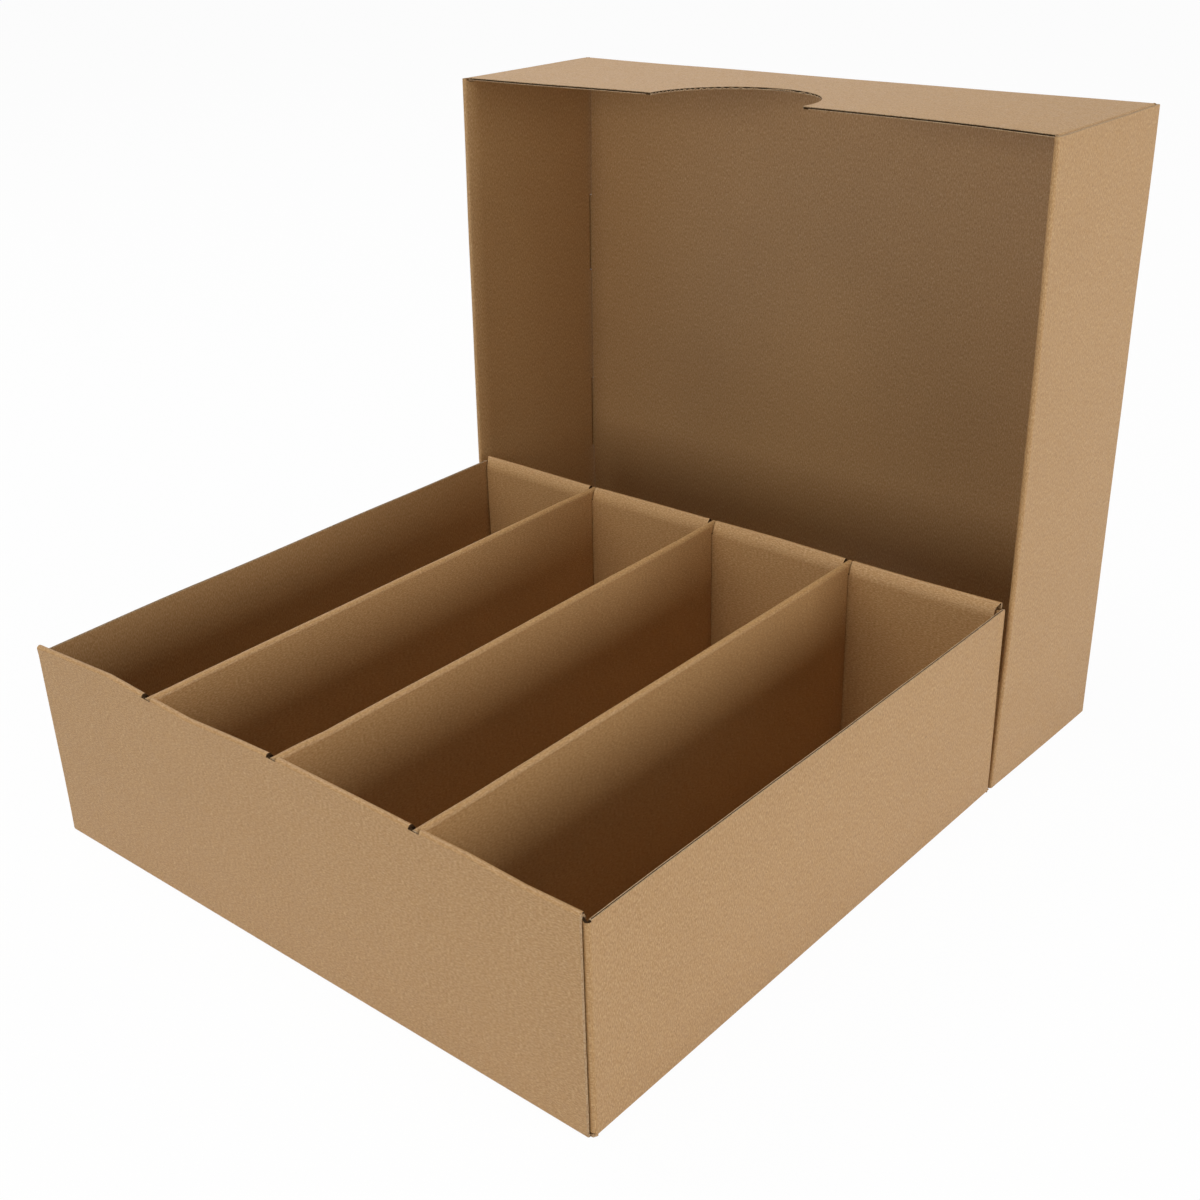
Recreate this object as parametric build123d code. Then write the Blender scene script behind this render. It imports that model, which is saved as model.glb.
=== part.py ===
from build123d import *
from collections import namedtuple
from math import cos, radians, sin
import os

# Divided storage box: an open tray with four rows, three folded row dividers
# and a deep lift-off lid that stands on its long side behind the tray.
# All lengths are millimetres. +Z is up, the rows run along Y and the tray's
# front faces -Y. The origin is under the middle of tray and lid together.

# Board: one fine-fluted corrugated sheet, used for every piece
board = 1.2
crease = 0.5
crest_crease = 0.15
cut_overrun = 5.0

# Tray: width across the rows, depth along them, height at the rolled rims
tray_width = 312.0
tray_depth = 286.0
tray_height = 96.5
tray_slack = 0.6
tray_turn = 50.0
tray_end_inset = 0.9
tray_crest_inset = 0.6
row_count = 4

# Lid: how it fits over the tray, and where it stands
lid_slack = 0.2
lid_turn = 70.0
lid_end_inset = 0.4
lid_crest_inset = 0.3
lid_side_fit = 0.5
lid_end_play = 3.8
lid_lift = 1.7
lid_gap = 0.6
tray_shift = 2.5
thumb_width = 83.0
thumb_depth = 44.3

# Rims and corners of both trays of board
side_drop = 2.5
bend_drop = 0.6
inner_inset = 0.8
ear_height = 2.0
ear_slope = 2.5
flap_length = 66.0
flap_taper = 4.0
flap_clear = 0.8
corner_lift = 0.4
corner_play = 0.15

# Lock tabs of the rolled walls, and the slots that take them
tab_count = 3
tab_length = 64.0
tab_pitch = 107.0
tab_recess = 0.2
slot_play = 0.4
slot_show = 0.6
foot_gap = 0.3

# Dividers and their notches in the rolled rims
divider_slack = 1.2
divider_drop = 0.5
divider_set_back = 0.5
ear_clear = 0.3
front_notch_play = 1.9
back_notch_play = 0.6
notch_outer_depth = 2.4
notch_inner_depth = 6.0

# Worked out from the sizes above
fold = board + crease
crest_radius = board + crest_crease
tray_wall = 3 * board + 2 * tray_slack
lid_wall = 3 * board + 2 * lid_slack
lid_width = tray_width + 2 * (lid_wall + lid_side_fit)
lid_length = tray_depth + 2 * (board + lid_end_play)
lid_height = tray_height + board - lid_lift
row_pitch = tray_width / row_count
divider_thickness = 2 * board + divider_slack
divider_top = tray_height - divider_drop
total_depth = tray_depth + lid_gap + lid_height
tray_y = (tray_depth - total_depth) / 2

# A rolled wall: its thickness, the slack round the flap inside it, how far
# the crest turns past level, and how far its ends stop short of the sides
RolledWall = namedtuple("RolledWall", "thick slack turn end_inset crest_inset")
tray_ends = RolledWall(tray_wall, tray_slack, tray_turn, tray_end_inset, tray_crest_inset)
lid_ends = RolledWall(lid_wall, lid_slack, lid_turn, lid_end_inset, lid_crest_inset)


def ease_radius(ends):
    """Outside radius of the slow curve from a rolled rim's crest to its inner panel."""
    lean = sin(radians(ends.turn))
    return (ends.thick - crest_radius * (1 + lean)) / (1 - lean)


def ease_drop(ends):
    """How far below the crest the inner panel of a rolled wall hangs straight."""
    upright = cos(radians(ends.turn))
    return crest_radius * (1 - upright) + ease_radius(ends) * upright


def rolled_line(height, ends, skin):
    """A rolled wall's face: bend, outer panel, crest, slow curve, inner panel."""
    bend = JernArc((fold, skin), (-1, 0), fold - skin, -90)
    rise = Line(bend @ 1, (skin, height - crest_radius))
    crest = JernArc(rise @ 1, (0, 1), crest_radius - skin, -90 - ends.turn)
    ease = JernArc(crest @ 1, crest % 1, ease_radius(ends) - skin, ends.turn - 90)
    fall = Line(ease @ 1, (ends.thick - skin, board + foot_gap))
    return [bend, rise, crest, ease, fall]


def rolled_section(height, ends):
    """Section of a rolled wall: u runs inwards from its outer face, v is up."""
    outside = rolled_line(height, ends, 0)
    inside = rolled_line(height, ends, board)
    root = Line(outside[0] @ 0, inside[0] @ 0)
    foot = Line(outside[-1] @ 1, inside[-1] @ 1)
    return make_face([*outside, foot, *inside, root])


def outer_panel_outline(span, height, ends):
    """Front view of a rolled wall's outer panel, with an ear at each end of its crest."""
    ear = span / 2 - ends.crest_inset
    side = span / 2 - ends.end_inset
    ear_foot = height - ear_height
    neck = ear_foot - ear_slope
    right = [(side, -cut_overrun), (side, neck), (ear, ear_foot), (ear, height + cut_overrun)]
    left = [(-x, z) for x, z in reversed(right)]
    return make_face(Polyline(*right, *left, close=True))


def inner_panel_outline(span, height, ends):
    """Front view of a rolled wall's inner panel, cut narrower to pass between the sides."""
    crest = span / 2 - ends.crest_inset
    side = span / 2 - board - inner_inset
    neck = height - side_drop
    top = height + cut_overrun
    right = [(side, board), (side, neck), (crest, height), (crest, top)]
    left = [(-x, z) for x, z in reversed(right)]
    return make_face(Polyline(*right, *left, close=True))


def tab_places():
    """Middles of the lock tabs along a rolled wall."""
    return [(i - (tab_count - 1) / 2) * tab_pitch for i in range(tab_count)]


def rolled_wall(span, run, height, ends):
    """The rolled wall at the -Y end: outer panel, crest, inner panel and lock tabs."""
    side_view = Plane((-span / 2, -run / 2, 0), x_dir=(0, 1, 0), z_dir=(1, 0, 0))
    sheet = extrude(side_view * rolled_section(height, ends), amount=span)
    front_view = Plane((0, -run / 2, 0), x_dir=(1, 0, 0), z_dir=(0, -1, 0))
    outer_view = front_view * outer_panel_outline(span, height, ends)
    outer = extrude(outer_view, amount=crest_radius, both=True)
    behind = front_view.offset(-crest_radius)
    inner_view = behind * inner_panel_outline(span, height, ends)
    inner = extrude(inner_view, amount=crest_radius - ends.thick - cut_overrun)
    bend = Pos(0, -run / 2, 0) * Box(
        span - 2 * ends.end_inset, fold, fold, align=(Align.CENTER, Align.MIN, Align.MIN))
    sheet = sheet & (outer + inner + bend)
    for place in tab_places():
        sheet += Pos(place, ends.thick - run / 2, tab_recess) * Box(
            tab_length, board, 2 * board, align=(Align.CENTER, Align.MAX, Align.MIN))
    return sheet


def corner_flap(span, run, height, ends):
    """Flap at the +X side wall's -Y end, folded in between the rolled wall's panels."""
    near = board + ends.slack - run / 2
    side = span / 2

    def flap_line(skin):
        start = Line((side - skin, near + fold + flap_clear), (side - skin, near + fold))
        turn = JernArc(start @ 1, (0, -1), fold - skin, -90)
        end = Line(turn @ 1, (side - flap_length, near + skin))
        return [start, turn, end]

    outside = flap_line(0)
    inside = flap_line(board)
    start = Line(outside[0] @ 0, inside[0] @ 0)
    end = Line(outside[-1] @ 1, inside[-1] @ 1)
    low = board + flap_clear
    top = height - ease_drop(ends) - flap_clear
    tip = side - flap_length
    beyond = side + cut_overrun
    bend_top = height - side_drop - bend_drop
    flap_outline = Polyline(
        (beyond, low), (beyond, bend_top), (side - fold, bend_top), (side - fold, top),
        (tip, top - flap_taper), (tip, low + flap_taper), (tip + flap_taper, low), close=True)
    foot_outline = Polyline(
        (beyond, corner_lift), (beyond, low), (side - crease, low), (side - crease, corner_lift), close=True)
    view = Plane((0, -run / 2, 0), x_dir=(1, 0, 0), z_dir=(0, -1, 0))
    flap = extrude(make_face([*outside, end, *inside, start]), amount=height)
    flap &= extrude(view * make_face(flap_outline), amount=-ends.thick - cut_overrun)
    turn_start = Line(outside[1] @ 0, inside[1] @ 0)
    turn_end = Line(outside[1] @ 1, inside[1] @ 1)
    foot = extrude(make_face([outside[1], turn_end, inside[1], turn_start]), amount=height)
    foot &= extrude(view * make_face(foot_outline), amount=-ends.thick - cut_overrun)
    return flap + foot


def base_and_sides(span, run, height, ends):
    """Bottom panel, with a single wall folded up at both X sides."""
    half = span / 2
    wall_start = fold + board + ends.slack
    bend_start = fold + corner_play

    def side_line(skin):
        rise = Line((half - skin, height - side_drop), (half - skin, fold))
        bend = JernArc(rise @ 1, (0, -1), fold - skin, -90)
        return [rise, bend]

    outside = side_line(0)
    inside = side_line(board)
    rim = Line(outside[0] @ 0, inside[0] @ 0)
    bend_top = Line(outside[1] @ 0, inside[1] @ 0)
    root = Line(outside[1] @ 1, inside[1] @ 1)
    wall_view = Plane((0, wall_start - run / 2, 0), x_dir=(1, 0, 0), z_dir=(0, -1, 0))
    bend_view = Plane((0, bend_start - run / 2, 0), x_dir=(1, 0, 0), z_dir=(0, -1, 0))
    wall_section = make_face([outside[0], bend_top, inside[0], rim])
    bend_section = make_face([outside[1], root, inside[1], bend_top])
    side = extrude(wall_view * wall_section, amount=2 * wall_start - run)
    side += extrude(bend_view * bend_section, amount=2 * bend_start - run)
    bottom = Box(span - 2 * fold, run - 2 * fold, board, align=(Align.CENTER, Align.CENTER, Align.MIN))
    return bottom + side + mirror(side, about=Plane.YZ)


def lock_slots(run, ends):
    """Slots in the bottom panel for the lock tabs of the -Y rolled wall, open a little on the inside."""
    far_side = ends.thick + slot_show - run / 2
    slot = Box(
        tab_length + 2 * slot_play, board + slot_play + slot_show, cut_overrun,
        align=(Align.CENTER, Align.MAX, Align.CENTER))
    return [Pos(place, far_side, 0) * slot for place in tab_places()]


def rolled_end_tray(span, run, height, ends):
    """One folded sheet: bottom, single walls at both X sides, rolled walls at both Y ends."""
    near_slots = lock_slots(run, ends)
    sheet = base_and_sides(span, run, height, ends)
    sheet -= near_slots
    sheet -= [mirror(slot, about=Plane.XZ) for slot in near_slots]
    near_wall = rolled_wall(span, run, height, ends)
    flap = corner_flap(span, run, height, ends)
    near_flaps = [flap, mirror(flap, about=Plane.YZ)]
    sheet += [near_wall, mirror(near_wall, about=Plane.XZ)]
    sheet += near_flaps
    sheet += [mirror(piece, about=Plane.XZ) for piece in near_flaps]
    return sheet


def divider_places():
    """Middles of the dividers across the tray."""
    return [i * row_pitch - tray_width / 2 for i in range(1, row_count)]


def divider_notch(play):
    """Cut through the -Y rolled rim for one divider: shallow outside, deeper inside."""
    step = tray_wall / 2
    outline = Polyline(
        (-cut_overrun, tray_height + cut_overrun), (-cut_overrun, tray_height - notch_outer_depth),
        (step, tray_height - notch_outer_depth), (step, tray_height - notch_inner_depth),
        (tray_wall + cut_overrun, tray_height - notch_inner_depth),
        (tray_wall + cut_overrun, tray_height + cut_overrun), close=True)
    left = -divider_thickness / 2 - play + ear_clear
    view = Plane((left, -tray_depth / 2, 0), x_dir=(0, 1, 0), z_dir=(1, 0, 0))
    return extrude(view * make_face(outline), amount=divider_thickness + play)


def make_tray():
    """The open tray, with a notch in both rolled rims for each divider."""
    tray = rolled_end_tray(tray_width, tray_depth, tray_height, tray_ends)
    front_notch = divider_notch(front_notch_play)
    back_notch = mirror(divider_notch(back_notch_play), about=Plane.XZ)
    for place in divider_places():
        tray -= Pos(place, 0, 0) * front_notch
        tray -= Pos(place, 0, 0) * back_notch
    return tray


def make_divider():
    """A strip folded double along its top, with an ear at each upper corner."""
    half = divider_thickness / 2

    def leaf_line(skin):
        rise = Line((skin - half, board), (skin - half, divider_top - half))
        crest = JernArc(rise @ 1, (0, 1), half - skin, -180)
        fall = Line(crest @ 1, (half - skin, board))
        return [rise, crest, fall]

    outside = leaf_line(0)
    inside = leaf_line(board)
    feet = [Line(outside[0] @ 0, inside[0] @ 0), Line(outside[-1] @ 1, inside[-1] @ 1)]
    length = tray_depth - 2 * ear_clear
    view = Plane((0, -length / 2, 0), x_dir=(1, 0, 0), z_dir=(0, -1, 0))
    divider = extrude(view * make_face([*outside, *inside, *feet]), amount=-length)
    ear_tip = tray_height - notch_outer_depth + ear_clear
    shoulder = tray_height - notch_inner_depth + ear_clear
    set_back = tray_wall + divider_set_back
    below_ear = Polyline(
        (-cut_overrun, -cut_overrun), (-cut_overrun, ear_tip), (tray_wall / 2, ear_tip),
        (set_back, shoulder), (set_back, -cut_overrun), close=True)
    end_view = Plane((-divider_thickness, -tray_depth / 2, 0), x_dir=(0, 1, 0), z_dir=(1, 0, 0))
    end_cut = extrude(end_view * make_face(below_ear), amount=2 * divider_thickness)
    return divider - [end_cut, mirror(end_cut, about=Plane.XZ)]


def make_lid():
    """The lid, lying open side up: rolled ends, and a thumb cut-out in both long walls."""
    lid = rolled_end_tray(lid_length, lid_width, lid_height, lid_ends)
    radius = (thumb_width ** 2 / 4 + thumb_depth ** 2) / (2 * thumb_depth)
    centre = lid_height - side_drop - thumb_depth + radius
    thumb = Pos(0, 0, centre) * Rot(0, 90, 0) * Cylinder(radius, lid_length + cut_overrun)
    return lid - thumb


def main():
    """Build every piece, set it in place and write it."""
    in_tray = Pos(tray_shift, tray_y, 0)
    standing = Plane(
        (0, total_depth / 2, lid_length / 2), x_dir=(0, 0, -1), z_dir=(0, -1, 0))
    pieces = {"tray": in_tray * make_tray(), "lid": standing * make_lid()}
    divider = make_divider()
    for name, place in zip(("left", "centre", "right"), divider_places()):
        pieces["divider_" + name] = in_tray * Pos(place, 0, 0) * divider
    os.makedirs("parts", exist_ok=True)
    for name, piece in pieces.items():
        export_step(piece, "parts/" + name + ".step")


main()
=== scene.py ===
"""Dresses the divided cardboard box: tray, row dividers and standing lid of fine corrugated kraft board."""

import math

import bmesh
import bpy
from bpy.props import FloatProperty, FloatVectorProperty, PointerProperty
from mathutils import Matrix, Vector, noise


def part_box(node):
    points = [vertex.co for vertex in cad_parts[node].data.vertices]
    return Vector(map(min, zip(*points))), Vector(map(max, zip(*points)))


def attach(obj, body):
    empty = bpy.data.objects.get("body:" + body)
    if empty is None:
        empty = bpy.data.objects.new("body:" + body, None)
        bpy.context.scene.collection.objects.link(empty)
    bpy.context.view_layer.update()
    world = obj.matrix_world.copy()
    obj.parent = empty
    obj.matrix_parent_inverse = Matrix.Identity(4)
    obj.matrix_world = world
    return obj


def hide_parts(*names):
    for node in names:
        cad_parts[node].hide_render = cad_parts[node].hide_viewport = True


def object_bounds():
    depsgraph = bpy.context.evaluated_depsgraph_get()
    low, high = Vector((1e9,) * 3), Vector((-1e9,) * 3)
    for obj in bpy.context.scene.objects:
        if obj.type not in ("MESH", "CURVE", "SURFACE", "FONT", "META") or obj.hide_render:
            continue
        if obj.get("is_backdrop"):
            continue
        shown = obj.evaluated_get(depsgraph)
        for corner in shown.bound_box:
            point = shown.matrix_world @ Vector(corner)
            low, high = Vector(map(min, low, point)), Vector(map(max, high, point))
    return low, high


bl_info = {
    "name": "Divided Cardboard Box",
    "version": (1, 0, 0),
    "blender": (4, 5, 0),
    "location": "3D View > Sidebar > Card Box",
    "description": "Folded tray, row dividers and lift-off lid of fine corrugated board",
    "category": "Add Mesh",
}

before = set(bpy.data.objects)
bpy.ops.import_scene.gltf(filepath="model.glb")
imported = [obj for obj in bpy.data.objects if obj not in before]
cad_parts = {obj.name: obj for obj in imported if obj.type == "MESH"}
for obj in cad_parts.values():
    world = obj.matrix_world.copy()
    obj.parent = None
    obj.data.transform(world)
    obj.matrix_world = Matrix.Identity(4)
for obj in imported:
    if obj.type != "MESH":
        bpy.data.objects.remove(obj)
CAD_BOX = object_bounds()

MM = 0.001
DIVIDERS = ("divider_left", "divider_centre", "divider_right")
UP = Vector((0.0, 0.0, 1.0))
FORWARD = Vector((0.0, -1.0, 0.0))

# Soft square lamps, all turned to one point of the box: place in metres and power in watts.
LAMP_SIZE = 0.9
LAMP_TARGET = Vector((0.0, 0.0, 0.12))
LAMPS = {
    "front_lamp": ((0.0, -2.15, 0.56), 13.4),
    "overhead_lamp": ((0.0, -0.55, 2.22), 17.5),
    "left_lamp": ((-1.25, 0.0, 1.9), 14.0),
    "right_front_lamp": ((2.08, -0.56, 0.56), 8.6),
    "right_back_lamp": ((2.08, 0.56, 0.56), 13.8),
    "back_lamp": ((1.41, 1.41, 1.03), 3.0),
    "back_left_lamp": ((-1.4, 1.65, 1.05), 0.9),
}
# Half the width of the square floor in metres, and the width of the camera's sensor in millimetres.
FLOOR_REACH = 8.0
SENSOR_WIDTH = 36.0

# How far use has moved the board out of true, in millimetres, at even steps along each line.
# Sideways: the rolled walls and dividers from left to right, then each side wall from front to back.
FRONT_DRIFT = (0.0, 1.6, 2.8, 1.6, 0.0)
BACK_DRIFT = (-2.6, -4.0, -3.4, -1.8, -1.0)
LEFT_DRIFT = (0.0, -2.6)
RIGHT_DRIFT = (1.2, 1.4)
# Rise of the tray's rims, from left to right or from front to back, and forward pull of its front.
FRONT_RISE = (-1.2, 0.0, 1.2, -0.3, -1.3, 0.15, 1.2, 0.85, 0.55, 0.4, 0.3, -1.0, -0.5)
BACK_RISE = (0.0, -0.1, -0.3, 0.1, 0.4, 0.6, 0.1, 0.0, 0.4)
LEFT_RISE = (-2.4, -1.0, -0.6, 0.2, 0.6)
RIGHT_RISE = (-1.8, -1.2, -0.5, 0.0, 1.2)
FRONT_PULL = 1.3
# Floors of the front wall's notches: their height as cut, give or take, and how far the crushed board has
# sprung back up.
NOTCH_FLOOR = 94.1
NOTCH_SLACK = 0.05
NOTCH_SPRING = 1.1
# Sideways, from the foot up: the lid's left wall, its right wall, and the right wall's rim beyond that.
LID_LEFT_SPLAY = (-6.4, -6.0, -4.8, -3.1, -1.0)
LID_RIGHT_SPLAY = (0.8, 0.8)
LID_RIM_SPLAY = (-1.6, 0.5, 0.9, 0.8, 0.0)
# Feet of the inner panels of the lid's rolled walls: their depth as cut, and how far they stand off the
# bottom.
LID_FOOT = 1.5
LID_FOOT_RISE = 0.6

# Parts of the tray as shares of its size: its outermost board, the outer boards of its rolled walls, and the
# top of its single side walls. Then the shares over which a rim's rise grows towards the front or back, and
# upwards.
OUTER_BOARD = 0.005
ROLLED_BOARD = 0.006
SIDE_WALL_TOP = 0.976
RIM_FADE = (0.9, 0.98)
RISE_FADE = (0.4, 1.0)
# Bending of the lid: the power by which it grows from the bottom to the open rims, and the lean of the bow to
# the right. Then the shares of its height or half width over which the bow, the walls' splay and the right
# rim's splay grow, and those between which the inner panels stand.
LID_GIVE = 1.4
BOW_LEAN = 0.35
BOW_FADE = (0.94, 0.99)
SPLAY_FADE = (0.2, 1.0)
RIM_SPLAY_FADE = (0.9, 0.96)
INNER_PANEL = (0.97, 0.985)
# Height up to which the floor keeps the panels from waving.
STEADY_FOOT = 25 * MM

# Seed of the panels' waviness, which Blender would else take from the clock.
WAVE_SEED = 1

# Limits that tell a sheet's faces apart: angles between two faces, cosines between a face and a direction, and
# lengths in thicknesses of the board.
FLAT_ANGLE = math.radians(0.2)
EDGE_ANGLE = math.radians(25)
CORNER_ANGLE = math.radians(30)
SAME_WAY = 0.9
STRAIGHT = 0.99
INTO_HOLE = -0.7
STRIP_WIDTH = 1.2
LINER_SLACK = 0.25
# Height above which the tray's small cut edges take the dark fluting as painted shade, where they look into
# the dark between two panels.
PAINTED_SHADE_FROM = 10 * MM
# Lengths under which vertices are one and under which a cut snaps to them, and by which a hollow narrows.
WELD = 0.01 * MM
SNAP = 0.001 * MM
HOLLOW_TAPER = 0.02 * MM
# Waved paper in the thumb cut-outs: its steps, how far it is set back, and its share of the hollow's depth.
FLUTE_STEPS = 700
FLUTE_SET_BACK = 0.05 * MM
FLUTE_REACH = 0.95

# Order of the materials on every sheet. The fluting and the inner liner are drawn darker as painted shade.
LINER, CUT_LINER, FLUTING_PAINTED_SHADE, INNER_LINER_PAINTED_SHADE = range(4)

# Board axes (0 is X, 1 is Y, 2 is Z) across and along the flutes, by the axis that a panel faces.
TRAY_FLUTES = {0: (2, 1), 1: (0, 2), 2: (0, 1)}
LID_FLUTES = {0: (2, 1), 1: (2, 0), 2: (1, 0)}
DIVIDER_FLUTES = {0: (1, 2), 1: (0, 2), 2: (1, 0)}

# Places of a Mix node's colour sockets, whose names repeat: three inputs and the output.
FACTOR, BASE, OVER = 0, 6, 7
MIXED = 2
# Radians that Blender's wave texture turns through over one unit.
WAVE_TURN = 20.0


def linear(hex_code):
    """Linear colour of an sRGB hex value."""
    levels = [int(hex_code[place:place + 2], 16) / 255 for place in (1, 3, 5)]
    return tuple(v / 12.92 if v <= 0.04045 else ((v + 0.055) / 1.055) ** 2.4 for v in levels)


def smooth_step(low, high, value):
    """Rises smoothly from 0 at low to 1 at high."""
    t = min(max((value - low) / (high - low), 0.0), 1.0)
    return t * t * (3.0 - 2.0 * t)


def along(values, place):
    """Value at a place from 0 to 1 along evenly spaced ones in millimetres, turned to metres."""
    step = min(max(place, 0.0), 1.0) * (len(values) - 1)
    first = min(int(step), len(values) - 2)
    return (values[first] + (values[first + 1] - values[first]) * (step - first)) * MM


class BoardSettings(bpy.types.PropertyGroup):
    """The corrugated board that every piece is cut from."""

    thickness: FloatProperty(
        name="Board", description="Thickness of the board", default=1.2 * MM, unit="LENGTH", precision=5)
    liner: FloatProperty(
        name="Liner", description="Thickness of each outer paper", default=0.18 * MM, unit="LENGTH",
        precision=5)
    medium: FloatProperty(
        name="Medium", description="Thickness of the waved paper, drawn thicker so that it shows",
        default=0.42 * MM, unit="LENGTH", precision=5)
    edge_lip: FloatProperty(
        name="Edge lip", description="Width of each liner where a long edge was pressed while cut",
        default=0.42 * MM, unit="LENGTH", precision=5)
    flute_pitch: FloatProperty(
        name="Flute pitch", description="Distance between two flutes", default=2.4 * MM, unit="LENGTH",
        precision=5)
    edge_depth: FloatProperty(
        name="Edge depth", description="How far the hollow shows behind a cut edge", default=1.5 * MM,
        unit="LENGTH", precision=5)
    flute_depth: FloatProperty(
        name="Flute depth", description="How far the open flutes show behind a cut-out's edge",
        default=3.0 * MM, unit="LENGTH", precision=5)
    small_edge: FloatProperty(
        name="Small edge", description="Area under which a cut edge is crushed shut", default=25.0 * MM * MM,
        unit="AREA", precision=6)
    cut_spacing: FloatProperty(
        name="Bending step", description="Distance between the cuts that let a panel bend", default=13 * MM,
        unit="LENGTH", precision=4)
    waviness: FloatProperty(
        name="Waviness", description="How far the panels stray from flat", default=0.35 * MM, unit="LENGTH",
        precision=5)
    wave_length: FloatProperty(
        name="Wave length", description="Size of the panels' unevenness", default=70 * MM, unit="LENGTH",
        precision=4)
    liner_colour: FloatVectorProperty(
        name="Liner colour", description="Kraft paper of the faces", default=linear("#B88E5A"),
        subtype="COLOR")
    # Painted shade: the inner liner is the outer liner drawn darker, for the deeper shade inside the box.
    inner_painted_shade: FloatProperty(
        name="Inner shade", description="Brightness of the inner liner beside the outer one", default=0.88,
        subtype="FACTOR")
    fibre_colour: FloatVectorProperty(
        name="Fibre colour", description="Darker fibres and specks in the paper", default=linear("#946C3F"),
        subtype="COLOR")
    pale_fibre_colour: FloatVectorProperty(
        name="Pale fibre colour", description="Paler fibres in the paper", default=linear("#D0AE80"),
        subtype="COLOR")
    cut_colour: FloatVectorProperty(
        name="Cut colour", description="Paper where it is cut through", default=linear("#C6AD8A"),
        subtype="COLOR")
    # Painted shade: the waved paper and its clots are drawn far darker than the medium's own mid-brown, for
    # the shade inside the board.
    fluting_painted_shade_colour: FloatVectorProperty(
        name="Fluting colour", description="Waved paper in the shade inside the board",
        default=linear("#3E2C19"), subtype="COLOR")
    clot_painted_shade_colour: FloatVectorProperty(
        name="Clot colour", description="Paler clots of the waved paper", default=linear("#57402A"),
        subtype="COLOR")


class LidSettings(bpy.types.PropertyGroup):
    """How the standing lid was cut and has gone out of true."""

    edge_lip: FloatProperty(
        name="Edge lip", description="Width of each liner along the rims, pressed less than the tray's",
        default=0.32 * MM, unit="LENGTH", precision=5)
    rim_rise: FloatProperty(
        name="Rim rise", description="How far the upper rim bows up", default=1.75 * MM, unit="LENGTH",
        precision=4)
    thumb_radius: FloatProperty(
        name="Thumb radius", description="Radius of the thumb cut-outs", default=41.59 * MM, unit="LENGTH",
        precision=5)
    thumb_centre: FloatProperty(
        name="Thumb centre", description="Y of the cut-outs' centre", default=100.51 * MM, unit="LENGTH",
        precision=5)
    thumb_rim: FloatProperty(
        name="Thumb rim", description="Y of the rim that the cut-outs open from", default=97.8 * MM,
        unit="LENGTH", precision=5)


class StageSettings(bpy.types.PropertyGroup):
    """Camera, floor and lamps."""

    camera_place: FloatVectorProperty(
        name="Camera", description="Where the camera stands", default=(0.43513, -0.49959, 0.40338),
        subtype="TRANSLATION")
    camera_azimuth: FloatProperty(
        name="Azimuth", description="How far right of the front the camera stands",
        default=math.radians(40.7174), subtype="ANGLE")
    camera_elevation: FloatProperty(
        name="Elevation", description="How steeply the camera looks down", default=math.radians(26.5997),
        subtype="ANGLE")
    camera_roll: FloatProperty(
        name="Roll", description="Tilt of the picture", default=math.radians(-1.49), subtype="ANGLE")
    camera_lens: FloatProperty(
        name="Lens", description="Focal length on a 36 mm sensor", default=47.7143, unit="CAMERA")
    camera_shift: FloatVectorProperty(
        name="Shift", description="Shift of the picture", default=(-0.0027, 0.02668), size=2)
    floor_colour: FloatVectorProperty(
        name="Floor", description="Colour of the floor", default=linear("#FAFAFA"), subtype="COLOR")
    floor_white: FloatProperty(
        name="Floor white", description="Share of plain white in the floor's look, the rest being its shading",
        default=0.97, subtype="FACTOR")
    sky_level: FloatProperty(
        name="Sky", description="Level of the light from all round", default=0.02, subtype="FACTOR")
    lamp_level: FloatProperty(
        name="Lamps", description="Level of all the lamps together", default=1.0, subtype="FACTOR")


def add_node(tree, kind, inputs=None, **settings):
    """A new node with its settings, its inputs set to values or linked from other nodes' sockets.

    Inputs go by name, or by place where their names repeat.
    """
    node = tree.nodes.new(kind)
    for name, value in settings.items():
        setattr(node, name, value)
    for key, value in (inputs or {}).items():
        if isinstance(value, bpy.types.NodeSocket):
            tree.links.new(value, node.inputs[key])
        else:
            node.inputs[key].default_value = value
    return node


def per_metre(size):
    """Pattern scale whose features have a given size in millimetres."""
    return 1000.0 / size


def new_material(name):
    """A node material with nothing in it yet, and its node tree."""
    material = bpy.data.materials.new(name)
    material.use_nodes = True
    material.node_tree.nodes.clear()
    return material, material.node_tree


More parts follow.
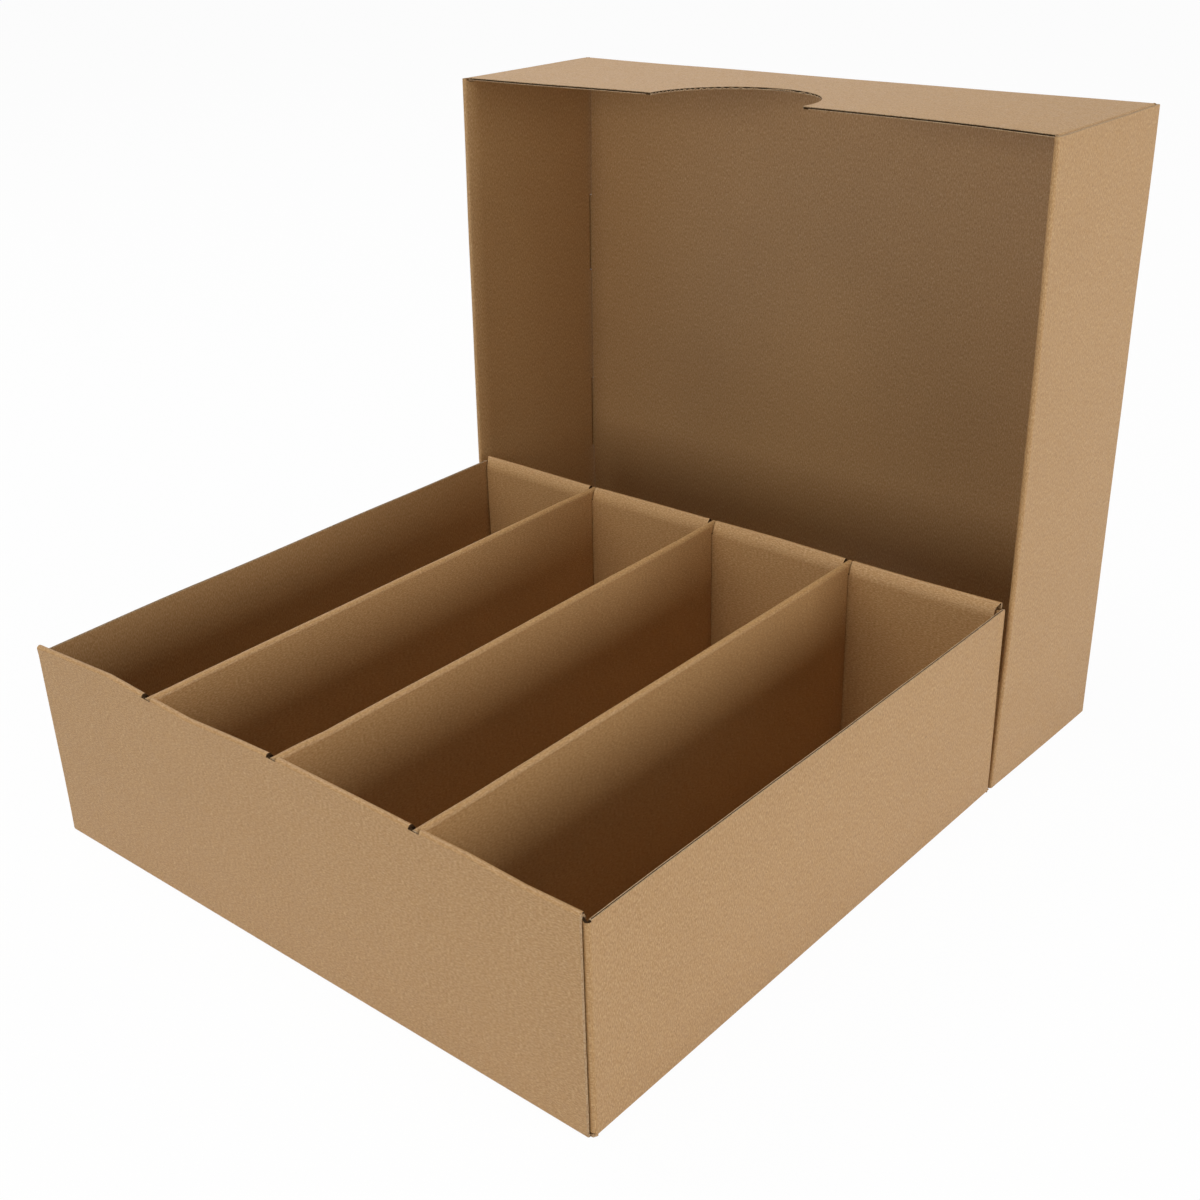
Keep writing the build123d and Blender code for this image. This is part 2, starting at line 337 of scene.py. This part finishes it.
def liner_paper(name, board, shade):
    """Machine-made brown paper, uncoated and calendered, in a given shade of the board's colours.

    The eye sees a matt tan with a cloudy formation, short fibres that lie across the flutes, a few dark
    specks, and the faint ripple of the flutes where the paper was glued down on them.
    """
    material, tree = new_material(name)
    place = add_node(tree, "ShaderNodeTexCoord")
    grain = add_node(tree, "ShaderNodeUVMap", uv_map="flutes")
    # Formation: soft clouds of 30 mm and flocs of 3 mm.
    cloud = add_node(tree, "ShaderNodeTexNoise", {
        "Vector": place.outputs["Object"], "Scale": per_metre(30), "Detail": 3.0, "Roughness": 0.55})
    floc = add_node(tree, "ShaderNodeTexNoise", {
        "Vector": place.outputs["Object"], "Scale": per_metre(3), "Detail": 3.0, "Roughness": 0.6})
    # Fibres: real ones are 0.03 mm wide, too fine to show, so they are drawn 0.45 mm wide and 1.4 mm long.
    fibre_lay = add_node(tree, "ShaderNodeMapping", {
        "Vector": grain.outputs["UV"], "Scale": (per_metre(1.4), per_metre(0.45), 1.0)})
    fibre = add_node(tree, "ShaderNodeTexNoise", {
        "Vector": fibre_lay.outputs["Vector"], "Scale": 1.0, "Detail": 2.0, "Roughness": 0.7,
        "Distortion": 0.3})
    # Specks of bark and shive, about 0.9 mm, few and far between.
    speck = add_node(tree, "ShaderNodeTexNoise", {
        "Vector": place.outputs["Object"], "Scale": per_metre(0.9), "Detail": 1.0})
    dark = add_node(tree, "ShaderNodeMapRange", {
        "Value": speck.outputs["Fac"], "From Min": 0.66, "From Max": 0.80, "To Min": 0.0, "To Max": 0.8})
    pale = add_node(tree, "ShaderNodeMapRange", {
        "Value": fibre.outputs["Fac"], "From Min": 0.50, "From Max": 0.72, "To Min": 0.0, "To Max": 1.0})
    murk = add_node(tree, "ShaderNodeMapRange", {
        "Value": fibre.outputs["Fac"], "From Min": 0.50, "From Max": 0.28, "To Min": 0.0, "To Max": 0.8})
    haze = add_node(tree, "ShaderNodeMapRange", {
        "Value": cloud.outputs["Fac"], "From Min": 0.3, "From Max": 0.7, "To Min": 0.0, "To Max": 0.07})
    # A shade under 1 darkens the inner liner as painted shade.
    tone, fibre_tone, pale_tone = (
        tuple(level * shade for level in colour) + (1.0,)
        for colour in (board.liner_colour, board.fibre_colour, board.pale_fibre_colour))
    lit = add_node(tree, "ShaderNodeMix", {
        FACTOR: pale.outputs["Result"], BASE: tone, OVER: pale_tone}, data_type="RGBA")
    clouded = add_node(tree, "ShaderNodeMix", {
        FACTOR: murk.outputs["Result"], BASE: lit.outputs[MIXED], OVER: fibre_tone}, data_type="RGBA")
    shaded = add_node(tree, "ShaderNodeMix", {
        FACTOR: haze.outputs["Result"], BASE: clouded.outputs[MIXED], OVER: fibre_tone}, data_type="RGBA")
    specked = add_node(tree, "ShaderNodeMix", {
        FACTOR: dark.outputs["Result"], BASE: shaded.outputs[MIXED], OVER: fibre_tone}, data_type="RGBA")
    # Washboard: the liner sinks a few hundredths of a millimetre between the flutes.
    flute_lay = add_node(tree, "ShaderNodeMapping", {
        "Vector": grain.outputs["UV"], "Scale": (1.0 / board.flute_pitch, 0.0, 0.0)})
    ripple = add_node(tree, "ShaderNodeTexWave", {
        "Vector": flute_lay.outputs["Vector"], "Scale": math.tau / WAVE_TURN, "Distortion": 0.0},
        wave_type="BANDS", bands_direction="X", wave_profile="SIN")
    washboard = add_node(tree, "ShaderNodeBump", {
        "Height": ripple.outputs["Fac"], "Strength": 0.25, "Distance": 0.03 * MM})
    tooth = add_node(tree, "ShaderNodeBump", {
        "Height": fibre.outputs["Fac"], "Normal": washboard.outputs["Normal"], "Strength": 0.35,
        "Distance": 0.06 * MM})
    gloss = add_node(tree, "ShaderNodeMapRange", {
        "Value": floc.outputs["Fac"], "From Min": 0.3, "From Max": 0.7, "To Min": 0.46, "To Max": 0.58})
    paper = add_node(tree, "ShaderNodeBsdfPrincipled", {
        "Base Color": specked.outputs[MIXED], "Roughness": gloss.outputs["Result"], "IOR": 1.5,
        "Normal": tooth.outputs["Normal"]})
    add_node(tree, "ShaderNodeOutputMaterial", {"Surface": paper.outputs["BSDF"]})
    return material


def kraft_liner(name, board):
    """Outer paper: unbleached kraft liner of new fibre."""
    return liner_paper(name, board, 1.0)


def inner_liner_with_painted_shade(name, board):
    """Inner paper: the outer liner drawn a shade darker, as painted shade inside the box."""
    return liner_paper(name, board, board.inner_painted_shade)


def cut_liner(name, board):
    """Die-cut edge of kraft liner: torn fibre ends, greyer and rougher than the face, a little uneven."""
    material, tree = new_material(name)
    place = add_node(tree, "ShaderNodeTexCoord")
    # Torn fibre ends, drawn 0.7 mm across because the real ones are too fine to show.
    fray = add_node(tree, "ShaderNodeTexNoise", {
        "Vector": place.outputs["Object"], "Scale": per_metre(0.7), "Detail": 3.0, "Roughness": 0.65})
    patch = add_node(tree, "ShaderNodeMapRange", {
        "Value": fray.outputs["Fac"], "From Min": 0.35, "From Max": 0.7})
    tone = add_node(tree, "ShaderNodeMix", {
        FACTOR: patch.outputs["Result"], BASE: (*board.cut_colour, 1.0), OVER: (*board.fibre_colour, 1.0)},
        data_type="RGBA")
    nap = add_node(tree, "ShaderNodeBump", {
        "Height": fray.outputs["Fac"], "Strength": 0.5, "Distance": 0.1 * MM})
    edge = add_node(tree, "ShaderNodeBsdfPrincipled", {
        "Base Color": tone.outputs[MIXED], "Roughness": 0.85, "IOR": 1.5, "Normal": nap.outputs["Normal"]})
    add_node(tree, "ShaderNodeOutputMaterial", {"Surface": edge.outputs["BSDF"]})
    return material


def fluting_with_painted_shade(name, board):
    """Fluting medium: soft recycled paper pressed into waves.

    The eye sees it in the dark between the liners, brown and dull, with hardly any gloss.
    Its colours are painted shade, far darker than the medium's own mid-brown.
    """
    material, tree = new_material(name)
    place = add_node(tree, "ShaderNodeTexCoord")
    # Recycled fibre clots of about 1.2 mm.
    clot = add_node(tree, "ShaderNodeTexNoise", {
        "Vector": place.outputs["Object"], "Scale": per_metre(1.2), "Detail": 3.0, "Roughness": 0.6})
    patch = add_node(tree, "ShaderNodeMapRange", {
        "Value": clot.outputs["Fac"], "From Min": 0.35, "From Max": 0.7, "To Min": 0.0, "To Max": 0.6})
    tone = add_node(tree, "ShaderNodeMix", {
        FACTOR: patch.outputs["Result"], BASE: (*board.fluting_painted_shade_colour, 1.0), OVER: (*board.clot_painted_shade_colour, 1.0)},
        data_type="RGBA")
    paper = add_node(tree, "ShaderNodeBsdfPrincipled", {
        "Base Color": tone.outputs[MIXED], "Roughness": 0.9, "IOR": 1.5, "Specular IOR Level": 0.1})
    add_node(tree, "ShaderNodeOutputMaterial", {"Surface": paper.outputs["BSDF"]})
    return material


def board_materials(board):
    """The board's papers, made once and shared by all the sheets."""
    makers = {
        "uncoated_kraft_liner": kraft_liner,
        "die_cut_kraft_edge": cut_liner,
        "fluting_paper_with_painted_shade": fluting_with_painted_shade,
        "darker_inner_liner_painted_shade": inner_liner_with_painted_shade,
    }
    return [bpy.data.materials.get(name) or make(name, board) for name, make in makers.items()]


def merged_sheet(node):
    """A closed copy of a CAD sheet, each flat panel joined into as few faces as it needs."""
    sheet = bmesh.new()
    sheet.from_mesh(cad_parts[node].data)
    bmesh.ops.remove_doubles(sheet, verts=sheet.verts, dist=WELD)
    bmesh.ops.dissolve_limit(sheet, angle_limit=FLAT_ANGLE, verts=sheet.verts, edges=sheet.edges)
    return sheet


def smooth_regions(sheet, limit):
    """Groups of faces that run into each other without a corner sharper than the limit."""
    waiting = set(sheet.faces)
    for start in sheet.faces:
        if start not in waiting:
            continue
        waiting.discard(start)
        found = [start]
        for face in found:
            for edge in face.edges:
                if edge.is_manifold and edge.calc_face_angle() < limit:
                    fresh = [other for other in edge.link_faces if other in waiting]
                    waiting.difference_update(fresh)
                    found.extend(fresh)
        yield found


def cut_edge_strips(sheet, board):
    """Strips of faces where the board is cut through, about as wide as it is thick, with their area."""
    for region in smooth_regions(sheet, EDGE_ANGLE):
        inside = set(region)
        area = sum(face.calc_area() for face in region)
        outline = sum(
            edge.calc_length() for face in region for edge in face.edges
            if any(other not in inside for other in edge.link_faces))
        if 2.0 * area / outline < STRIP_WIDTH * board.thickness:
            yield region, area


def sink_edges(sheet, strips, lip, depth):
    """Sinks the middle of cut edges, so that the two liners stand out beside the hollow flutes."""
    lips = bmesh.ops.inset_region(
        sheet, faces=strips, thickness=lip, use_boundary=True, use_even_offset=True)["faces"]
    for face in lips:
        face.material_index = CUT_LINER
    walls = bmesh.ops.inset_region(
        sheet, faces=strips, thickness=HOLLOW_TAPER, depth=-depth, use_boundary=True,
        use_even_offset=True)["faces"]
    # The hollow and its walls take the fluting, whose dark colour is painted shade.
    for face in walls + strips:
        face.material_index = FLUTING_PAINTED_SHADE


def open_cut_edges(sheet, board, rim_facing, lip, painted_shade_from=math.inf):
    """Shows the board's make-up along the open rims that face one way and along the curved cut-outs.

    Small cut edges above a given height are notches and flaps that look into the dark between two panels, and
    take the dark fluting as painted shade.
    """
    rims, curved = [], []
    for region, area in cut_edge_strips(sheet, board):
        small = area < board.small_edge
        # Painted shade: small edges above the height take the dark fluting.
        shaded = small and region[0].calc_center_median().z > painted_shade_from
        for face in region:
            face.material_index = FLUTING_PAINTED_SHADE if shaded else CUT_LINER
        if small:
            continue
        if min(face.normal.dot(region[0].normal) for face in region) < SAME_WAY:
            curved.extend(region)
        elif region[0].normal.dot(rim_facing) > SAME_WAY:
            rims.extend(region)
    if rims:
        sink_edges(sheet, rims, lip, board.edge_depth)
    if curved:
        sink_edges(sheet, curved, board.liner, board.flute_depth)


def line_inside(sheet, board, node):
    """Gives the darker inner liner, painted shade, to the faces that look inwards, one board behind the
    piece's outer sides.
    """
    low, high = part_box(node)
    slack = LINER_SLACK * board.thickness
    for face in sheet.faces:
        place = face.calc_center_median()
        for axis in range(3):
            facing = face.normal[axis]
            depth = place[axis] - low[axis] if facing > STRAIGHT else high[axis] - place[axis]
            if abs(facing) > STRAIGHT and abs(depth - board.thickness) < slack:
                face.material_index = INNER_LINER_PAINTED_SHADE


def cut_for_bending(sheet, spacing):
    """Cuts the sheet's faces at even steps along all three axes, so that its panels can bend."""
    for axis in range(3):
        places = [vert.co[axis] for vert in sheet.verts]
        low, high = min(places), max(places)
        count = int((high - low) / spacing)
        direction = Vector([float(other == axis) for other in range(3)])
        for step in range(1, count):
            bmesh.ops.bisect_plane(
                sheet, geom=sheet.verts[:] + sheet.edges[:] + sheet.faces[:], dist=SNAP,
                plane_co=direction * (low + (high - low) * step / count), plane_no=direction)


def wave_panels(sheet, board):
    """Lets the panels stray a little from flat, less and less towards the floor they stand on."""
    noise.seed_set(WAVE_SEED)
    for vert in sheet.verts:
        stray = noise.noise_vector(vert.co / board.wave_length) * board.waviness
        vert.co += stray * smooth_step(0.0, STEADY_FOOT, vert.co.z)


def lay_flutes(sheet, flutes):
    """Maps every face in metres, across and along the flutes of its panel."""
    layer = sheet.loops.layers.uv.new("flutes")
    for face in sheet.faces:
        facing = max(range(3), key=lambda axis: abs(face.normal[axis]))
        across, lengthwise = flutes[facing]
        for loop in face.loops:
            loop[layer].uv = (loop.vert.co[across], loop.vert.co[lengthwise])


def finish_sheet(name, sheet, board, flutes, *nodes):
    """Turns a sheet into the object that stands for its CAD node."""
    lay_flutes(sheet, flutes)
    for face in sheet.faces:
        face.smooth = True
    for edge in sheet.edges:
        edge.smooth = edge.is_manifold and edge.calc_face_angle() < CORNER_ANGLE
    mesh = bpy.data.meshes.new(name)
    sheet.to_mesh(mesh)
    sheet.free()
    for material in board_materials(board):
        mesh.materials.append(material)
    piece = bpy.data.objects.new(name, mesh)
    bpy.context.scene.collection.objects.link(piece)
    # Flat panels keep their own normals beside the narrow rounded folds.
    weigh = piece.modifiers.new("flat panels", "WEIGHTED_NORMAL")
    weigh.mode = "FACE_AREA"
    weigh.keep_sharp = True
    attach(piece, "root")
    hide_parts(*nodes)


def settle_tray(sheet):
    """Moves the tray, and the dividers with it, as far out of true as use has left them."""
    low, high = (Vector(corner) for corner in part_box("tray"))
    for vert in sheet.verts:
        right, back, up = ((vert.co[axis] - low[axis]) / (high[axis] - low[axis]) for axis in range(3))
        # The single side walls stand between the rolled walls and below their crests.
        at_side = min(right, 1.0 - right) < OUTER_BOARD
        if at_side and min(back, 1.0 - back) > ROLLED_BOARD and up < SIDE_WALL_TOP:
            drift = along(LEFT_DRIFT if right < 0.5 else RIGHT_DRIFT, back)
            rise = along(LEFT_RISE if right < 0.5 else RIGHT_RISE, back)
        else:
            drift = along(FRONT_DRIFT, right) * (1.0 - back) + along(BACK_DRIFT, right) * back
            rise = along(FRONT_RISE, right) * smooth_step(*RIM_FADE, 1.0 - back)
            rise += along(BACK_RISE, right) * smooth_step(*RIM_FADE, back)
        rise *= smooth_step(*RISE_FADE, up)
        if back < OUTER_BOARD and abs(vert.co.z - NOTCH_FLOOR * MM) < NOTCH_SLACK * MM:
            rise += NOTCH_SPRING * MM
        vert.co += Vector((drift, FRONT_PULL * MM * (back - 1.0), rise))


class CARDBOX_OT_tray(bpy.types.Operator):
    """Dress the folded tray"""

    bl_idname = "cardbox.tray"
    bl_label = "Tray"

    def execute(self, context):
        board = context.scene.cardbox_board
        sheet = merged_sheet("tray")
        line_inside(sheet, board, "tray")
        open_cut_edges(sheet, board, UP, board.edge_lip, PAINTED_SHADE_FROM)
        cut_for_bending(sheet, board.cut_spacing)
        settle_tray(sheet)
        wave_panels(sheet, board)
        finish_sheet("folded_tray", sheet, board, TRAY_FLUTES, "tray")
        return {"FINISHED"}


class CARDBOX_OT_dividers(bpy.types.Operator):
    """Dress the row dividers"""

    bl_idname = "cardbox.dividers"
    bl_label = "Row dividers"

    def execute(self, context):
        board = context.scene.cardbox_board
        for node in DIVIDERS:
            sheet = merged_sheet(node)
            open_cut_edges(sheet, board, UP, board.edge_lip)
            cut_for_bending(sheet, board.cut_spacing)
            settle_tray(sheet)
            wave_panels(sheet, board)
            finish_sheet("folded_" + node, sheet, board, DIVIDER_FLUTES, node)
        return {"FINISHED"}


def bow_lid(sheet, lid):
    """Bows the upper rim up and lets the end walls stand out of true, as a used lid does."""
    low, high = (Vector(corner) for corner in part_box("lid"))
    size = high - low
    middle = (low + high) / 2
    inner, outer = INNER_PANEL
    for vert in sheet.verts:
        side = (vert.co.x - middle.x) / (size.x / 2)
        reach = (high.y - vert.co.y) / size.y
        rise = (vert.co.z - low.z) / size.z
        free = max(reach, 0.0) ** LID_GIVE
        lift = lid.rim_rise * (1.0 - side * side) * (1.0 + BOW_LEAN * side) * smooth_step(*BOW_FADE, rise)
        splay = along(LID_LEFT_SPLAY, rise) * smooth_step(*SPLAY_FADE, -side)
        splay += along(LID_RIGHT_SPLAY, rise) * smooth_step(*SPLAY_FADE, side)
        splay += along(LID_RIM_SPLAY, rise) * smooth_step(*RIM_SPLAY_FADE, side) * free
        foot = abs(high.y - vert.co.y - LID_FOOT * MM) < WELD and inner < abs(side) < outer
        vert.co += Vector((splay, -LID_FOOT_RISE * MM if foot else 0.0, lift * free))


def thumb_fluting(sheet, board, lid, height):
    """Adds the waved paper that shows between the liners along a thumb cut-out at a given height."""
    half = math.acos((lid.thumb_rim - lid.thumb_centre) / lid.thumb_radius)
    centre = Vector((0.0, lid.thumb_centre, height))
    start = Matrix.Rotation(-half, 3, "Z") @ Vector((0.0, lid.thumb_radius + FLUTE_SET_BACK, 0.0))
    ribbon = bmesh.new()
    first = ribbon.verts.new(centre + start)
    bmesh.ops.spin(
        ribbon, geom=[first], cent=centre, axis=UP, dvec=(0.0, 0.0, 0.0), angle=2.0 * half,
        steps=FLUTE_STEPS, use_merge=False, use_normal_flip=False, use_duplicate=False)
    swing = (board.thickness - board.medium) / 2 - board.liner
    for vert in ribbon.verts:
        vert.co.z += swing * math.sin(math.tau * vert.co.y / board.flute_pitch)
    deep = [item for item in bmesh.ops.extrude_edge_only(ribbon, edges=ribbon.edges[:])["geom"]
            if isinstance(item, bmesh.types.BMVert)]
    scale = (lid.thumb_radius + FLUTE_REACH * board.flute_depth) / lid.thumb_radius
    bmesh.ops.scale(
        ribbon, vec=(scale, scale, 1.0), space=Matrix.Translation(-centre), verts=deep)
    bmesh.ops.recalc_face_normals(ribbon, faces=ribbon.faces)
    bmesh.ops.solidify(ribbon, geom=ribbon.faces[:], thickness=board.medium)
    # Faces into the hole are cut liner; the rest take the fluting, whose dark colour is painted shade.
    for face in ribbon.faces:
        outward = face.calc_center_median() - centre
        facing_hole = face.normal.dot(outward.normalized()) < INTO_HOLE
        face.material_index = CUT_LINER if facing_hole else FLUTING_PAINTED_SHADE
    paper = bpy.data.meshes.new("fluting")
    ribbon.to_mesh(paper)
    ribbon.free()
    sheet.from_mesh(paper)
    bpy.data.meshes.remove(paper)


class CARDBOX_OT_lid(bpy.types.Operator):
    """Dress the lift-off lid"""

    bl_idname = "cardbox.lid"
    bl_label = "Lid"

    def execute(self, context):
        board = context.scene.cardbox_board
        lid = context.scene.cardbox_lid
        low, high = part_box("lid")
        sheet = merged_sheet("lid")
        line_inside(sheet, board, "lid")
        open_cut_edges(sheet, board, FORWARD, lid.edge_lip)
        cut_for_bending(sheet, board.cut_spacing)
        for height in (low[2] + board.thickness / 2, high[2] - board.thickness / 2):
            thumb_fluting(sheet, board, lid, height)
        bow_lid(sheet, lid)
        wave_panels(sheet, board)
        finish_sheet("folded_lid", sheet, board, LID_FLUTES, "lid")
        return {"FINISHED"}


def seen_as_white(tree):
    """Socket that is 1 for rays from the camera, straight, mirrored or through glass, and 0 for lighting."""
    path = add_node(tree, "ShaderNodeLightPath")
    seen = add_node(tree, "ShaderNodeMath", {
        0: path.outputs["Is Camera Ray"], 1: path.outputs["Is Glossy Ray"]}, operation="MAXIMUM")
    shown = add_node(tree, "ShaderNodeMath", {
        0: seen.outputs[0], 1: path.outputs["Is Transmission Ray"]}, operation="MAXIMUM")
    return shown.outputs[0]


def studio_floor(stage):
    """Matt white studio floor: it reads as white, and darkens only a little under the box."""
    material, tree = new_material("matt_white_floor")
    share = add_node(tree, "ShaderNodeMath", {
        0: seen_as_white(tree), 1: stage.floor_white}, operation="MULTIPLY")
    matt = add_node(tree, "ShaderNodeBsdfDiffuse", {"Color": (*stage.floor_colour, 1.0)})
    white = add_node(tree, "ShaderNodeEmission", {"Color": (1.0, 1.0, 1.0, 1.0), "Strength": 1.0})
    blend = add_node(tree, "ShaderNodeMixShader", {
        0: share.outputs[0], 1: matt.outputs["BSDF"], 2: white.outputs["Emission"]})
    add_node(tree, "ShaderNodeOutputMaterial", {"Surface": blend.outputs["Shader"]})
    return material


def add_floor(scene, stage):
    """The plain floor that the box stands on."""
    shape = bmesh.new()
    bmesh.ops.create_grid(shape, x_segments=1, y_segments=1, size=FLOOR_REACH)
    mesh = bpy.data.meshes.new("floor")
    shape.to_mesh(mesh)
    shape.free()
    mesh.materials.append(studio_floor(stage))
    floor = bpy.data.objects.new("floor", mesh)
    scene.collection.objects.link(floor)
    floor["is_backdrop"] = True


def add_sky(scene, stage):
    """White surroundings that give only a little light."""
    world = bpy.data.worlds.new("white_studio")
    scene.world = world
    world.use_nodes = True
    tree = world.node_tree
    tree.nodes.clear()
    level = add_node(tree, "ShaderNodeMapRange", {
        "Value": seen_as_white(tree), "To Min": stage.sky_level, "To Max": 1.0})
    sky = add_node(tree, "ShaderNodeBackground", {"Strength": level.outputs["Result"]})
    add_node(tree, "ShaderNodeOutputWorld", {"Surface": sky.outputs["Background"]})


def add_lamp(scene, name, place, power):
    """A soft square lamp that faces the box."""
    lamp = bpy.data.lights.new(name, "AREA")
    lamp.shape = "SQUARE"
    lamp.size = LAMP_SIZE
    lamp.energy = power
    holder = bpy.data.objects.new(name, lamp)
    holder.location = place
    holder.rotation_euler = (Vector(place) - LAMP_TARGET).to_track_quat("Z", "Y").to_euler()
    scene.collection.objects.link(holder)


def add_camera(scene, stage):
    """The camera at the photograph's viewing angle."""
    lens = bpy.data.cameras.new("camera")
    lens.sensor_width = SENSOR_WIDTH
    lens.lens = stage.camera_lens
    lens.shift_x, lens.shift_y = stage.camera_shift
    camera = bpy.data.objects.new("camera", lens)
    turn = Matrix.Rotation(stage.camera_azimuth, 4, "Z")
    tilt = Matrix.Rotation(math.pi / 2 - stage.camera_elevation, 4, "X")
    roll = Matrix.Rotation(stage.camera_roll, 4, "Z")
    camera.matrix_world = Matrix.Translation(stage.camera_place) @ turn @ tilt @ roll
    scene.collection.objects.link(camera)
    scene.camera = camera


class CARDBOX_OT_stage(bpy.types.Operator):
    """Set the floor, the soft lamps and the camera"""

    bl_idname = "cardbox.stage"
    bl_label = "Stage"

    def execute(self, context):
        scene = context.scene
        stage = scene.cardbox_stage
        add_floor(scene, stage)
        add_sky(scene, stage)
        for name, (place, power) in LAMPS.items():
            add_lamp(scene, name, place, power * stage.lamp_level)
        add_camera(scene, stage)
        scene.view_settings.view_transform = "Standard"
        return {"FINISHED"}


class CARDBOX_PT_sidebar(bpy.types.Panel):
    """Settings and steps of the box"""

    bl_idname = "CARDBOX_PT_sidebar"
    bl_label = "Divided Cardboard Box"
    bl_space_type = "VIEW_3D"
    bl_region_type = "UI"
    bl_category = "Card Box"

    def draw(self, context):
        layout = self.layout
        for title, settings, steps in (
                ("Board", context.scene.cardbox_board, (CARDBOX_OT_tray, CARDBOX_OT_dividers)),
                ("Lid", context.scene.cardbox_lid, (CARDBOX_OT_lid,)),
                ("Stage", context.scene.cardbox_stage, (CARDBOX_OT_stage,))):
            box = layout.box()
            box.label(text=title)
            for name in type(settings).__annotations__:
                box.prop(settings, name)
            for step in steps:
                box.operator(step.bl_idname)


SETTINGS = {"cardbox_board": BoardSettings, "cardbox_lid": LidSettings, "cardbox_stage": StageSettings}
CLASSES = (CARDBOX_OT_tray, CARDBOX_OT_dividers, CARDBOX_OT_lid, CARDBOX_OT_stage, CARDBOX_PT_sidebar)


def register():
    """Adds the settings to the scene, and the operators and panel to Blender."""
    for name, group in SETTINGS.items():
        bpy.utils.register_class(group)
        setattr(bpy.types.Scene, name, PointerProperty(type=group))
    for item in CLASSES:
        bpy.utils.register_class(item)


def unregister():
    """Takes away what register added."""
    for item in reversed(CLASSES):
        bpy.utils.unregister_class(item)
    for name, group in SETTINGS.items():
        delattr(bpy.types.Scene, name)
        bpy.utils.unregister_class(group)


def main():
    """Makes the pieces and the stage, and works out the sizes of the CAD and of the visual model."""
    register()
    bpy.ops.cardbox.tray()
    bpy.ops.cardbox.dividers()
    bpy.ops.cardbox.lid()
    bpy.ops.cardbox.stage()
    boxes = {"cad": CAD_BOX, "visual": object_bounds()}
    {name: [list(corner) for corner in box] for name, box in boxes.items()}


if __name__ == "__main__":
    main()
